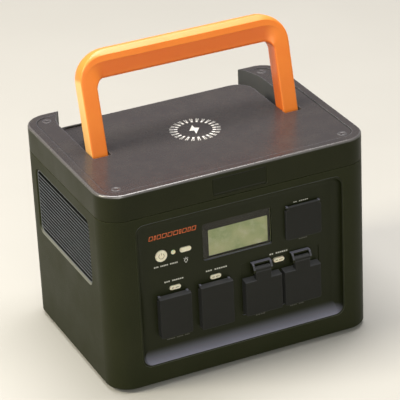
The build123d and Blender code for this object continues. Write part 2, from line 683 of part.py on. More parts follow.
def battery_board():
    board = block(-94, 94, CELL_Y - 101, CELL_Y - 99.4, 20, 66)
    for x in (-70, -45, -20, 20, 45, 70):
        board += block(x - 5, x + 5, CELL_Y - 99.5, CELL_Y - 95, 30, 46)
    return board


def shelf():
    plate = upright(236, 164, SHELF_Z, SHELF_Z + 2.5, 6, 0, 34)
    for x in (-112, 112):
        for y in (-40, 108):
            plate += post(4.0, FOOT_H + WALL, SHELF_Z + 0.5, x, y)
    return plate


def inverter_board():
    board = upright(216, 140, SHELF_Z + 8, SHELF_Z + 9.6, 3, 0, 34)
    for x in (-100, 100):
        for y in (-28, 96):
            board += post(3.0, SHELF_Z + 2.5, SHELF_Z + 8.1, x, y)
    return board


def heat_sink():
    z0 = SHELF_Z + 9.6
    sink = block(-95, 95, 66, 100, z0, z0 + 5)
    for i in range(20):
        x = -93.5 + i * 187 / 19
        sink += block(x - 0.8, x + 0.8, 66, 100, z0 + 4, z0 + 40)
    return sink


def transformer():
    z0 = SHELF_Z + 9.6
    core = upright(52, 44, z0, z0 + 14, 3, -48, 26) + upright(52, 44, z0 + 30, z0 + 44, 3, -48, 26)
    core += upright(52, 12, z0, z0 + 44, 2, -48, 10) + upright(52, 12, z0, z0 + 44, 2, -48, 42)
    winding = post(14, z0 + 10, z0 + 34, -48, 26)
    return core + winding


def choke():
    z0 = SHELF_Z + 9.6
    ring = post(20, z0, z0 + 22, 20, 26) - post(9, z0 - 1, z0 + 23, 20, 26)
    return fillet(ring.edges(), 2.5)


def capacitors():
    z0 = SHELF_Z + 9.6
    spots = [(62 + 24 * i, 12 + 26 * j) for i in range(2) for j in range(2)]
    cans = [fillet(post(10.5, z0, z0 + 42, x, y).edges(), 1.0).solid() for x, y in spots]
    return Compound(children=cans)


def charging_coil():
    top = LID_TOP - WALL - 0.2
    ring = post(26, top - 2.4, top) - post(10, top - 3, top + 1)
    return ring


def coil_board():
    top = LID_TOP - WALL - 2.6
    return upright(70, 60, top - 2.0, top, 4)


# ---- build --------------------------------------------------------------------------------
save("lower_housing", housing())
save("base_plate", base_plate())
for side_name, sx in (("left", -1), ("right", 1)):
    for end_name, sy in (("front", -1), ("rear", 1)):
        save(f"foot_{end_name}_{side_name}", foot(sx * FOOT_X, sy * FOOT_Y))
    save(f"vent_grille_{side_name}", vent_grille(sx))
    save(f"fan_frame_{side_name}", fan_frame(sx))
    save(f"fan_rotor_{side_name}", fan_rotor(sx))
    save(f"handle_pin_{side_name}", handle_pin(sx))
    save(f"handle_bush_{side_name}", handle_bush(sx))
save("base_screws", Compound(children=[base_screw(x, y).solid() for x, y in corners(SCREW_X, SCREW_Y)]))
save("top_cover", lid())
save("lid_screws", Compound(children=[lid_screw(x, y).solid() for x, y in corners(SCREW_X, SCREW_Y)]))
save("lid_screw_plugs", Compound(children=[screw_plug(x, y).solid() for x, y in corners(SCREW_X, SCREW_Y)]))
save("handle", handle())
save("handle_washers", handle_washers())
save("front_panel", front_panel())
save("lcd_window", lcd_window())
save("lcd_module", lcd_module())
save("lamp_lens", lamp_lens())
save("control_board", control_board())
save("power_button", power_button())
for button in SLOT_BUTTONS:
    save(button, slot_button(button))
save("usb_cover", flap_cover(USB_COVER))
save("dc_cover", flap_cover(DC_COVER))
save("input_cover", flap_cover(INPUT_COVER))
save("ac_cover_left", ac_cover(AC_COVERS[0]))
save("ac_cover_right", ac_cover(AC_COVERS[1]))
save("cover_hinge_pins", hinge_pins())
save("usb_port_block", usb_ports())
save("dc_port_block", dc_ports())
save("input_port_block", input_ports())
save("ac_socket_left", ac_socket(AC_COVERS[0]))
save("ac_socket_right", ac_socket(AC_COVERS[1]))
save("battery_cells", battery_cells())
save("cell_holder_lower", cell_holder(False))
save("cell_holder_upper", cell_holder(True))
save("bus_bars", bus_bars())
save("battery_board", battery_board())
save("internal_shelf", shelf())
save("inverter_board", inverter_board())
save("inverter_heat_sink", heat_sink())
save("inverter_transformer", transformer())
save("filter_choke", choke())
save("inverter_capacitors", capacitors())
save("charging_coil", charging_coil())
save("charging_board", coil_board())
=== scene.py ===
"""Looks of the portable power station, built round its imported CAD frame.

Each CAD node keeps its shape and gets a procedural material, but the handle and the two vent
grilles are replaced by finer pieces. The printed marks, the border of the display, the badge, the
caps over the screws and the cloths behind the vents are added. Lengths in the builders are
millimetres, and the meshes are metres."""
import math

import bmesh
import bpy
from mathutils import Matrix, Vector


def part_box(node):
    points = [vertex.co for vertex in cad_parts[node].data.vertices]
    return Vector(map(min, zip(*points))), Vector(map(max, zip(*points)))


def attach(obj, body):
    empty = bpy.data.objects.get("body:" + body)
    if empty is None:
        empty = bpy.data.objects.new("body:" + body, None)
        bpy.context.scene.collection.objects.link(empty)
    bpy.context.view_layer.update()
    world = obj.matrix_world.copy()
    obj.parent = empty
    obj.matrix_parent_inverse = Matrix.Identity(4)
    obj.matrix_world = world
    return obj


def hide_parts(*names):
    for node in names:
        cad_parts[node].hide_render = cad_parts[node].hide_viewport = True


MM = 0.001

# ---- dimensions shared with the CAD source, in millimetres -----------------------------------
LID_PRINT_Z = 249.3       # surface of the shallow pocket in the lid
LID_WELLS = (140.0, 102.0)  # distance of the four screw wells from the middle, across and along
PANEL_Y = -111.5          # front surface of the control panel
BADGE_Z = 232.5           # middle of the plain recess in the lid's front
HANDLE_PIVOT = (-5.0, 237.5)  # y and z
HANDLE_TILT = 13.5        # degrees back from upright
HANDLE_HALF = 10.0        # half the thickness across the plane of the handle
HANDLE_ARM_X = (111.0, 130.5)
HANDLE_REACH = 126.0      # from the pivot to the top
HANDLE_GRIP = 33.0        # height of the grip
HANDLE_OUT_R = 36.0
HANDLE_IN_R = 10.5
HANDLE_BORE_R = 5.5
CHARGE_SPOT = (0.0, -7.0)  # x and y
VENT_Y = (-73.0, 83.0)
VENT_Z = (122.0, 203.0)
VENT_R = 8.0
CHANNEL_X = (109.0, 133.0)  # the walls of the handle's channels, painted pale as a painted sky reflection
CHANNEL_Y = (-19.0, 121.0)

# ---- dimensions of the added detail, in millimetres ------------------------------------------
INK_LIFT = 0.06           # how far ink stands above the surface that it is printed on
INK_SINK = 0.1            # and how far it reaches below it
DISPLAY_X = (-35.5, 38.7)  # part of the display left open by the printed border
DISPLAY_Z = (141.5, 174.0)
CHARGE_DASHES = 24
SHORT_DASH = (20.4, 24.4, 1.2)  # inner radius, outer radius and half the width
LONG_DASH = (25.0, 29.8, 0.36)
LONG_DASH_TURN = 2.3      # degrees to each side of a short dash
LOUVRE_PITCH = 4.5
LOUVRE_NOSE_X = 162.9     # middle of the rounded nose of a slat
LOUVRE_NOSE_R = 0.75
LOUVRE_ROOT_X = 160.0     # inner edge of a slat
PALE_NOSE_X = (162.9, 163.3)  # the grille plastic turns pale, a painted highlight on the slat noses, from the first to the second
SLAT_HALF = 0.7           # about half the height of a slat
SLAT_MARGIN = 2.5         # from the top and the foot of the opening to the rows of slats
SLAT_INSET = 1.6          # from the side of the opening to the end of a slat
GRILLE_BACK_X = 159.4
POST_X = (159.6, 161.4)   # back and front of the posts
POST_INSET = 39.0         # from the side of the opening to the nearest post
SCREEN_X = (159.43, 159.53)  # back and front of the cloth
EDGE_HIGHLIGHT_Z = (244.0, 245.0)  # edges above these heights get a painted highlight
EDGE_FADE = 0.3           # width over which the painted pale channel walls fade out
ACCENT_X = -109.5         # left end of the orange row on the panel
ACCENT_Z = (180.6, 186.0)
CELL_GAP = 1.4
CELL_SLANT = 0.22         # shift to the right for each millimetre of height
CORNER_STEPS = 24
CORNER_HOLD = 5           # steps of a corner of the handle before its section starts to change
ROUND_STEPS = 8


# ---- helpers ---------------------------------------------------------------------------------
def tone(red, green, blue):
    """Linear colour of an 8-bit screen colour."""
    def channel(value):
        share = value / 255
        return share / 12.92 if share <= 0.04045 else ((share + 0.055) / 1.055) ** 2.4
    return (channel(red), channel(green), channel(blue), 1.0)


class Finish:
    """One material: a Principled shader and the nodes that vary it over the surface."""

    def __init__(self, name, **values):
        self.material = bpy.data.materials.new(name)
        self.material.use_nodes = True
        self.tree = self.material.node_tree
        self.shader = self.tree.nodes["Principled BSDF"]
        own = self.add("ShaderNodeTexCoord")
        self.position = own.outputs["Object"]
        self.normal = own.outputs["Normal"]
        for socket, value in values.items():
            self.shader.inputs[socket.replace("_", " ")].default_value = value

    def add(self, kind, **settings):
        node = self.tree.nodes.new(kind)
        for key, value in settings.items():
            setattr(node, key, value)
        return node

    def feed(self, node, socket, source):
        """Link source to a socket, or set the socket if source is a plain value."""
        if isinstance(source, bpy.types.NodeSocket):
            self.tree.links.new(source, node.inputs[socket])
        else:
            node.inputs[socket].default_value = source

    def drive(self, socket, source):
        self.feed(self.shader, socket, source)

    def stretched(self, scale):
        node = self.add("ShaderNodeMapping")
        self.feed(node, "Vector", self.position)
        node.inputs["Scale"].default_value = scale
        return node.outputs["Vector"]

    def noise(self, size, detail=2.0, rough=0.5, stretch=None):
        """Noise with features about size millimetres across."""
        node = self.add("ShaderNodeTexNoise")
        self.feed(node, "Vector", self.stretched(stretch) if stretch else self.position)
        node.inputs["Scale"].default_value = 1 / (size * MM)
        node.inputs["Detail"].default_value = detail
        node.inputs["Roughness"].default_value = rough
        return node.outputs["Fac"]

    def cells(self, size):
        """Distance from the middle of cells about size millimetres across."""
        node = self.add("ShaderNodeTexVoronoi")
        self.feed(node, "Vector", self.position)
        node.inputs["Scale"].default_value = 1 / (size * MM)
        return node.outputs["Distance"]

    def math(self, operation, first, second=0.0):
        node = self.add("ShaderNodeMath", operation=operation)
        self.feed(node, 0, first)
        self.feed(node, 1, second)
        return node.outputs["Value"]

    def span(self, value, low, high, start=0.0, end=1.0):
        """value between low and high, moved to between start and end."""
        node = self.add("ShaderNodeMapRange")
        self.feed(node, "Value", value)
        sockets = ("From Min", "From Max", "To Min", "To Max")
        for socket, number in zip(sockets, (low, high, start, end)):
            node.inputs[socket].default_value = number
        return node.outputs["Result"]

    def mix(self, share, first, second):
        node = self.add("ShaderNodeMix", data_type="RGBA")
        self.feed(node, "Factor", share)
        self.tree.nodes.update()
        for index, source in ((6, first), (7, second)):
            if isinstance(source, bpy.types.NodeSocket):
                self.tree.links.new(source, node.inputs[index])
            else:
                node.inputs[index].default_value = source
        return node.outputs[2]

    def rounded(self, radius):
        """Normal with the corners rounded by radius millimetres."""
        node = self.add("ShaderNodeBevel", samples=4)
        node.inputs["Radius"].default_value = radius * MM
        return node.outputs["Normal"]

    def edges(self, radius):
        """1 along outer and inner corners within radius millimetres, 0 elsewhere."""
        plain = self.add("ShaderNodeNewGeometry").outputs["Normal"]
        dot = self.add("ShaderNodeVectorMath", operation="DOT_PRODUCT")
        self.feed(dot, 0, self.rounded(radius))
        self.feed(dot, 1, plain)
        return self.span(dot.outputs["Value"], 0.999, 0.9)

    def facing_up(self, low=0.55, high=0.95, most=1.0):
        """1 on surfaces that face up, 0 on walls, with a blend between the two slopes."""
        split = self.add("ShaderNodeSeparateXYZ")
        self.feed(split, 0, self.normal)
        return self.span(split.outputs["Z"], low, high, 0.0, most)

    def place(self, axis):
        """Distance along an axis, in metres."""
        split = self.add("ShaderNodeSeparateXYZ")
        self.feed(split, 0, self.position)
        return split.outputs[axis]

    def between(self, value, low, high):
        """1 where value, in metres, is between low and high millimetres."""
        above = self.span(value, (low - EDGE_FADE) * MM, low * MM)
        below = self.span(value, (high + EDGE_FADE) * MM, high * MM)
        return self.math("MULTIPLY", above, below)

    def channel_walls(self):
        """1 on the walls of the channels that the handle folds into."""
        across = self.between(self.math("ABSOLUTE", self.place("X")), *CHANNEL_X)
        along = self.between(self.place("Y"), *CHANNEL_Y)
        return self.math("MULTIPLY", self.math("MULTIPLY", across, along), self.facing_up(0.3, 0.1))

    def bump(self, height, depth, strength, normal=None):
        """Relief of depth millimetres from height."""
        node = self.add("ShaderNodeBump")
        node.inputs["Strength"].default_value = strength
        node.inputs["Distance"].default_value = depth * MM
        self.feed(node, "Height", height)
        if normal is not None:
            self.feed(node, "Normal", normal)
        return node.outputs["Normal"]


# ---- materials -------------------------------------------------------------------------------
DUST = tone(168, 160, 142)
# colour of the painted reflection and highlight on the lid's channel walls and upper edges
PAINTED_PALE_TONE = tone(150, 152, 164)
# colour of the painted highlight on the round between the lid's top and its walls
PAINTED_RIM_HIGHLIGHT = tone(176, 172, 176)


def painted_wall_and_edge_light(f, base, share):
    """Channel walls and upper edges of the lid painted pale: a painted sky reflection on the walls and a
    painted highlight on the edges.
    """
    high_up = f.span(f.place("Z"), EDGE_HIGHLIGHT_Z[0] * MM, EDGE_HIGHLIGHT_Z[1] * MM, 0.0, 2.4)
    # painted highlight on the lid's upper edges
    edge_highlights = f.math("MULTIPLY", f.edges(0.9), high_up)
    # painted sky reflection on the channel walls, joined with the edge highlight
    painted_pale_areas = f.math("MAXIMUM", f.channel_walls(), edge_highlights)
    return f.mix(f.math("MULTIPLY", painted_pale_areas, share), base, PAINTED_PALE_TONE)


def painted_sky_sheen(f, base, sheen_tone, share, top):
    """Painted sky sheen: paler where the surface faces up, only below top millimetres if that is given.
    """
    cover = f.math("MULTIPLY", f.math("POWER", f.facing_up(0.05, 1.0), 1.7), share)
    if top:
        cover = f.math("MULTIPLY", cover, f.span(f.place("Z"), top * MM, (top - 4) * MM))
    return f.mix(cover, base, sheen_tone)


def dusted(f, base, share):
    """Patches of dust where the surface faces up."""
    settled = f.math("MULTIPLY", f.facing_up(), f.span(f.noise(16, 4.0, 0.65), 0.42, 0.72))
    return f.mix(f.math("MULTIPLY", settled, share), base, DUST)


def gloss_and_painted_rim(f, base, sheen, shine, share):
    """Surfaces that face up are glossier than the walls, and the round between them is glossiest and
    painted paler as a painted highlight. Gives the new colour and the new change of roughness."""
    up = f.facing_up(0.05, 0.3)
    level = f.math("ADD", f.math("MULTIPLY", up, 0.5 - shine), shine)
    rim = f.math("MULTIPLY", up, f.facing_up(0.985, 0.9))
    f.drive("Specular IOR Level", f.math("ADD", level, f.math("MULTIPLY", rim, 0.5)))
    # painted highlight on the round between the top and the walls
    rim_highlighted = f.mix(f.math("MULTIPLY", rim, 0.16), base, PAINTED_RIM_HIGHLIGHT)
    return rim_highlighted, f.math("SUBTRACT", sheen, f.math("MULTIPLY", up, share))


def moulded(name, colour, pale_tone, rough, grain=0.45, depth=0.03, dust=0.0, corner=0.35, tint=None,
            shine=0.5, sky_sheen=0.0, sheen_tone=None, sheen_top=None, polish=0.0, painted_pale=0.0):
    """Spark-eroded moulded plastic: fine grain, cloudy sheen and corners painted paler as a painted
    highlight. The last shares set real dust, a painted sky sheen on faces that look up with its own
    colour, extra gloss with a painted rim highlight, and painted pale channel walls and upper edges."""
    f = Finish(name, Specular_IOR_Level=shine)
    clouds = f.noise(38, 3.0, 0.55)
    speck = f.noise(grain * 1.6, 2.0, 0.6)
    base = f.mix(f.span(clouds, 0.3, 0.7), colour, tint or colour)
    base = f.mix(f.span(speck, 0.35, 0.75, 0.0, 0.1), base, pale_tone)
    # painted highlight: corners mixed towards the pale tone
    base = f.mix(f.math("MULTIPLY", f.edges(corner * 2), 0.45), base, pale_tone)
    # painted pale channel walls and upper edges: painted reflection and highlight
    if painted_pale:
        base = painted_wall_and_edge_light(f, base, painted_pale)
    # painted sky sheen: faces that look up are mixed towards a pale colour in place of light from above
    if sky_sheen:
        base = painted_sky_sheen(f, base, sheen_tone, sky_sheen, sheen_top)
    if dust:
        base = dusted(f, base, dust)
    sheen = f.math("ADD", f.span(clouds, 0.3, 0.7, -0.05, 0.05), f.span(speck, 0.3, 0.7, -0.04, 0.04))
    # extra gloss, and a painted highlight on the round
    if polish:
        base, sheen = gloss_and_painted_rim(f, base, sheen, shine, polish)
    f.drive("Base Color", base)
    f.drive("Roughness", f.math("ADD", sheen, rough))
    relief = f.math("ADD", f.cells(grain), speck)
    f.drive("Normal", f.bump(relief, depth, 0.9, f.rounded(corner)))
    return f.material


def louvre_plastic():
    """Dark grille plastic whose outermost edges carry a painted highlight, uneven in patches."""
    f = Finish("grille_plastic", Specular_IOR_Level=0.3)
    speck = f.noise(0.5, 2.0, 0.6)
    patches = f.noise(14, 3.0, 0.6)
    outward = f.math("ABSOLUTE", f.place("X"))
    nose = f.span(outward, PALE_NOSE_X[0] * MM, PALE_NOSE_X[1] * MM)
    # painted highlight on the slat noses, uneven in patches
    painted_pale = f.math("MULTIPLY", nose, f.span(patches, 0.3, 0.7, 0.7, 1.0))
    base = f.mix(painted_pale, tone(7, 7, 8), tone(98, 104, 112))
    f.drive("Base Color", f.mix(f.span(speck, 0.4, 0.8, 0.0, 0.2), base, tone(70, 70, 60)))
    f.drive("Roughness", f.span(speck, 0.3, 0.7, 0.36, 0.5))
    f.drive("Normal", f.bump(speck, 0.015, 0.8, f.rounded(0.2)))
    return f.material


def screen_cloth():
    """Fine black dust cloth behind the louvres."""
    f = Finish("screen_cloth", Specular_IOR_Level=0.1)
    weave = f.cells(0.8)
    f.drive("Base Color", f.mix(weave, tone(4, 4, 5), tone(13, 13, 14)))
    f.drive("Roughness", f.span(weave, 0.1, 0.7, 0.8, 0.95))
    f.drive("Normal", f.bump(weave, 0.05, 0.8))
    return f.material


def painted_handle():
    """Satin orange plastic of the handle, with flow marks and fine scratches, a painted highlight along
    the corners, painted shade as a redder tone on walls and undersides, and painted sunlight as a
    yellower tone on the outer faces and on faces that look up."""
    f = Finish("handle_orange", Coat_Weight=0.18, Coat_Roughness=0.28)
    clouds = f.noise(30, 3.0, 0.5)
    grain = f.noise(0.7, 2.0, 0.6)
    scratch = f.noise(1.1, 3.0, 0.7, stretch=(0.05, 1.0, 1.0))
    base = f.mix(f.span(clouds, 0.3, 0.7), tone(255, 140, 46), tone(252, 132, 41))
    base = f.mix(f.span(grain, 0.45, 0.8, 0.0, 0.18), base, tone(255, 168, 72))
    # painted highlight along the corners
    base = f.mix(f.math("MULTIPLY", f.edges(0.9), 0.4), base, tone(255, 176, 84))
    # painted shade: redder where the surface does not face up
    base = f.mix(f.facing_up(0.2, 0.0, 0.55), base, tone(246, 104, 30))
    # painted sunlight: outer faces and faces that look up mixed towards pale yellow
    outer_face = HANDLE_ARM_X[1] * MM
    sides = f.span(f.math("ABSOLUTE", f.place("X")), outer_face - 0.7 * MM, outer_face - 0.1 * MM)
    painted_sunlight = f.math("MAXIMUM", sides, f.facing_up(0.3, 0.9, 0.15))
    base = f.mix(f.math("MULTIPLY", painted_sunlight, 0.72), base, tone(255, 214, 132))
    f.drive("Base Color", base)
    marks = f.span(scratch, 0.58, 0.72, 0.0, 0.1)
    f.drive("Roughness", f.math("ADD", f.span(grain, 0.3, 0.7, 0.36, 0.46), marks))
    relief = f.math("ADD", f.cells(0.55), f.math("MULTIPLY", scratch, 0.6))
    f.drive("Normal", f.bump(relief, 0.02, 0.7, f.rounded(0.5)))
    return f.material


def rubbery(name, colour, pale_tone, rough=0.62, grain=0.35, depth=0.02, sky_sheen=0.0):
    """Soft-touch rubber: matt, with a painted highlight along the corners and a painted sky sheen where
    it faces up.
    """
    f = Finish(name, Sheen_Weight=0.08, Sheen_Roughness=0.5, Specular_IOR_Level=0.25)
    clouds = f.noise(14, 3.0, 0.6)
    speck = f.noise(grain, 2.0, 0.6)
    base = f.mix(f.span(clouds, 0.3, 0.75, 0.0, 0.45), colour, pale_tone)
    # painted highlight along the corners
    base = f.mix(f.math("MULTIPLY", f.edges(0.9), 0.35), base, tone(96, 97, 98))
    # painted sky sheen: paler where the rubber faces up
    base = f.mix(f.math("MULTIPLY", f.facing_up(0.3, 0.9), sky_sheen), base, tone(142, 143, 149))
    f.drive("Base Color", base)
    f.drive("Roughness", f.span(clouds, 0.3, 0.7, rough - 0.06, rough + 0.06))
    f.drive("Normal", f.bump(speck, depth, 0.8, f.rounded(0.4)))
    return f.material


def button_plastic():
    """Cream button caps with an uneven tone, fine specks and an uneven sheen."""
    f = Finish("button_cream", Subsurface_Weight=0.08, Subsurface_Scale=0.002)
    clouds = f.noise(5, 3.0, 0.6)
    speck = f.noise(0.35, 2.0, 0.6)
    base = f.mix(f.span(clouds, 0.3, 0.7), tone(236, 231, 208), tone(226, 219, 192))
    base = f.mix(f.span(speck, 0.5, 0.8, 0.0, 0.15), base, tone(196, 186, 158))
    f.drive("Base Color", base)
    f.drive("Roughness", f.span(clouds, 0.3, 0.7, 0.34, 0.48))
    f.drive("Normal", f.bump(speck, 0.012, 0.7, f.rounded(0.3)))
    return f.material


def metal(name, colour, dark, rough, brush=(1.0, 1.0, 1.0), size=1.2):
    """Bare or plated metal with fine brushing and a little tarnish."""
    f = Finish(name, Metallic=1.0)
    brushed = f.noise(size, 4.0, 0.65, stretch=brush)
    tarnish = f.noise(9, 3.0, 0.6)
    f.drive("Base Color", f.mix(f.span(tarnish, 0.4, 0.8, 0.0, 0.6), colour, dark))
    f.drive("Roughness", f.span(brushed, 0.3, 0.7, rough - 0.07, rough + 0.09))
    f.drive("Normal", f.bump(brushed, 0.01, 0.5, f.rounded(0.2)))
    return f.material


def nylon():
    """Milky plastic of the friction washers."""
    f = Finish("washer_nylon", Subsurface_Weight=0.25, Subsurface_Scale=0.002)
    clouds = f.noise(4, 3.0, 0.6)
    f.drive("Base Color", f.mix(clouds, tone(214, 210, 198), tone(188, 183, 168)))
    f.drive("Roughness", f.span(clouds, 0.3, 0.7, 0.38, 0.5))
    f.drive("Normal", f.bump(f.noise(0.6), 0.01, 0.6))
    return f.material


def window_pane():
    """Thin clear acrylic: most light goes straight through, and the rest mirrors the room."""
    f = Finish("display_window", IOR=1.45, Specular_IOR_Level=0.4, Alpha=0.09)
    smear = f.noise(9, 4.0, 0.6, stretch=(1.0, 1.0, 2.6))
    f.drive("Base Color", f.mix(f.span(smear, 0.3, 0.7), tone(30, 31, 22), tone(44, 45, 34)))
    f.drive("Roughness", f.span(smear, 0.42, 0.7, 0.04, 0.14))
    return f.material


def reflective_display():
    """Grey-green reflective liquid crystal with its pixel grid and uneven backing."""
    f = Finish("display_glass")
    clouds = f.noise(26, 2.0, 0.5)
    rows = f.add("ShaderNodeTexWave", bands_direction="Z")
    f.feed(rows, "Vector", f.position)
    rows.inputs["Scale"].default_value = 1 / (2.2 * MM)
    base = f.mix(f.span(clouds, 0.38, 0.62), tone(190, 192, 146), tone(163, 176, 126))
    base = f.mix(f.span(f.noise(11, 3.0, 0.6), 0.5, 0.78, 0.0, 0.6), base, tone(210, 208, 180))
    base = f.mix(f.math("MULTIPLY", rows.outputs["Fac"], 0.08), base, tone(120, 128, 96))
    f.drive("Base Color", base)
    f.drive("Roughness", f.span(clouds, 0.3, 0.7, 0.3, 0.45))
    f.drive("Normal", f.bump(f.noise(0.4), 0.005, 0.5))
    return f.material


def lamp_lens():
    """Warm white lens with a fine ripple."""
    f = Finish("lamp_diffuser", Subsurface_Weight=0.6, Subsurface_Scale=0.003, Coat_Weight=0.4)
    ripple = f.cells(0.5)
    f.drive("Base Color", f.mix(f.span(ripple, 0.1, 0.7), tone(250, 236, 204), tone(220, 208, 178)))
    f.drive("Roughness", f.span(ripple, 0.1, 0.7, 0.2, 0.34))
    f.drive("Normal", f.bump(ripple, 0.03, 0.8))
    return f.material


def circuit_board():
    """Green solder mask with copper tracks under it."""
    f = Finish("circuit_board", Coat_Weight=0.3, Coat_Roughness=0.15)
    tracks = f.add("ShaderNodeTexBrick")
    f.feed(tracks, "Vector", f.position)
    tracks.inputs["Scale"].default_value = 1 / (14 * MM)
    tracks.inputs["Mortar Size"].default_value = 0.05
    tracks.inputs["Color1"].default_value = tone(12, 74, 38)
    tracks.inputs["Color2"].default_value = tone(10, 62, 34)
    tracks.inputs["Mortar"].default_value = tone(46, 112, 52)
    clouds = f.noise(20)
    patchy = f.math("MULTIPLY", clouds, 0.3)
    f.drive("Base Color", f.mix(patchy, tracks.outputs["Color"], tone(8, 44, 26)))
    f.drive("Roughness", f.span(clouds, 0.3, 0.7, 0.28, 0.42))
    f.drive("Normal", f.bump(tracks.outputs["Fac"], 0.03, 0.8))
    return f.material


def cell_wrap():
    """Shrink-wrapped cans with a faint wrinkle."""
    f = Finish("cell_can", Coat_Weight=0.5, Coat_Roughness=0.12)
    wrinkle = f.noise(6, 4.0, 0.6, stretch=(1.0, 1.0, 0.25))
    f.drive("Base Color", f.mix(f.span(wrinkle, 0.3, 0.7), tone(38, 92, 128), tone(30, 76, 112)))
    f.drive("Roughness", f.span(wrinkle, 0.3, 0.7, 0.25, 0.4))
    f.drive("Normal", f.bump(wrinkle, 0.1, 0.6))
    return f.material


def ink(name, colour, rough=0.55):
    """Pad-printed ink: slightly uneven in cover and sheen."""
    f = Finish(name)
    cover = f.noise(0.9, 3.0, 0.65)
    faded = tuple(0.72 * c for c in colour[:3]) + (1.0,)
    f.drive("Base Color", f.mix(f.span(cover, 0.45, 0.85), colour, faded))
    f.drive("Roughness", f.span(cover, 0.3, 0.7, rough - 0.08, rough + 0.08))
    f.drive("Normal", f.bump(cover, 0.008, 0.6))
    return f.material


def floor_finish():
    """Plain studio floor."""
    f = Finish("floor", Roughness=0.8)
    f.drive("Base Color", f.mix(f.noise(220, 3.0), tone(186, 185, 180), tone(179, 178, 173)))
    f.drive("Normal", f.bump(f.noise(3, 3.0), 0.2, 0.3))
    return f.material


def make_finishes():
    """Every material, by the record's slot or by its own name."""
    return {
        # the sheen shares and colours below paint a pale sky sheen on faces that look up
        "housing_plastic": moulded("housing_plastic", tone(30, 33, 15), tone(100, 106, 72), 0.5,
                                   dust=0.1, tint=tone(35, 37, 20), shine=0.1, sky_sheen=0.6,
                                   sheen_tone=tone(186, 188, 182), sheen_top=205),
        "lid_plastic": moulded("lid_plastic", tone(31, 33, 18), tone(84, 88, 60), 0.4, grain=0.4,
                               depth=0.008, dust=0.02, tint=tone(35, 37, 21), shine=0.1, sky_sheen=0.1,
                               sheen_tone=tone(136, 118, 150), polish=0.14, painted_pale=0.22),
        "panel_plastic": moulded("panel_plastic", tone(27, 30, 13), tone(56, 60, 40), 0.42,
                                 grain=0.35, depth=0.015, tint=tone(31, 34, 16), shine=0.16,
                                 sky_sheen=0.78, sheen_tone=tone(166, 166, 186)),
        "grille_plastic": louvre_plastic(),
        "screen_cloth": screen_cloth(),
        "handle_orange": painted_handle(),
        "cover_rubber": rubbery("cover_rubber", tone(20, 21, 17), tone(28, 29, 24), sky_sheen=0.3),
        "foot_rubber": rubbery("foot_rubber", tone(34, 34, 33), tone(52, 51, 48), 0.75, 0.6, 0.04),
        "button_cream": button_plastic(),
        "steel": metal("steel", tone(188, 190, 192), tone(120, 120, 122), 0.3),
        "bronze": metal("bronze", tone(196, 150, 88), tone(120, 84, 46), 0.35),
        "washer_nylon": nylon(),
        "display_window": window_pane(),
        "display_glass": reflective_display(),
        "lamp_diffuser": lamp_lens(),
        "socket_plastic": moulded("socket_plastic", tone(36, 36, 37), tone(80, 80, 82), 0.34,
                                  grain=0.5, depth=0.01, corner=0.25),
        "circuit_board": circuit_board(),
        "inner_plastic": moulded("inner_plastic", tone(38, 38, 38), tone(84, 84, 84), 0.42,
                                 grain=0.6, depth=0.02, corner=0.3),
        "cell_can": cell_wrap(),
        "nickel": metal("nickel", tone(196, 190, 176), tone(140, 132, 116), 0.28, (0.1, 1.0, 1.0)),
        "heat_sink_aluminium": metal("heat_sink_aluminium", tone(204, 206, 208), tone(150, 152, 156),
                                     0.34, (1.0, 0.1, 1.0)),
        "ferrite": rubbery("ferrite", tone(52, 50, 48), tone(78, 72, 66), 0.5, 0.8, 0.06),
        "copper": metal("copper", tone(212, 122, 74), tone(128, 66, 38), 0.3, (1.0, 1.0, 6.0), 0.8),
        "badge_gloss": moulded("badge_gloss", tone(28, 31, 15), tone(46, 49, 30), 0.35, grain=0.3,
                               depth=0.004, corner=0.15, shine=0.12, sky_sheen=0.3,
                               sheen_tone=tone(150, 144, 158)),
        "ink_white": ink("ink_white", tone(232, 232, 228)),
        "ink_grey": ink("ink_grey", tone(190, 190, 180)),
        "ink_faint": ink("ink_faint", tone(92, 90, 84)),
        "ink_orange": ink("ink_orange", tone(206, 96, 44)),
        # painted shade at the foot of the lid's rim step, not print
        "painted_step_shade": ink("painted_step_shade", tone(16, 15, 14), 0.6),
        "ink_black": ink("ink_black", tone(36, 34, 24), 0.35),
        "button_mark": ink("button_mark", tone(150, 140, 118)),
    }


# ---- mesh helpers ----------------------------------------------------------------------------
def centre_of(node):
    """Middle of a CAD node's box, in millimetres."""
    low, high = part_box(node)
    return tuple((a + b) / 2 / MM for a, b in zip(low, high))


def add_piece(name, mesh, body, slot, finish=None, smooth=35.0, replaced=()):
    """Put a finished bmesh, in millimetres, into the scene on its body."""
    bmesh.ops.remove_doubles(mesh, verts=mesh.verts, dist=1e-4)
    bmesh.ops.recalc_face_normals(mesh, faces=mesh.faces)
    mesh.transform(Matrix.Scale(MM, 4))
    data = bpy.data.meshes.new(name)
    mesh.to_mesh(data)
    mesh.free()
    data.materials.append(FINISHES[finish or slot])
    data.shade_smooth()
    data.set_sharp_from_angle(angle=math.radians(smooth))
    piece = bpy.data.objects.new(name, data)
    bpy.context.scene.collection.objects.link(piece)
    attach(piece, body)
    if replaced:
        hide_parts(*replaced)
    return piece


def skin_rings(mesh, rings, closed_ends=True):
    """Faces between rings of points that all have the same count."""
    made = [[mesh.verts.new(p) for p in ring] for ring in rings]
    count = len(rings[0])
    for near, far in zip(made, made[1:]):
        for i in range(count):
            j = (i + 1) % count
            mesh.faces.new((near[i], near[j], far[j], far[i]))
    if closed_ends:
        mesh.faces.new(made[0][::-1])
        mesh.faces.new(made[-1])


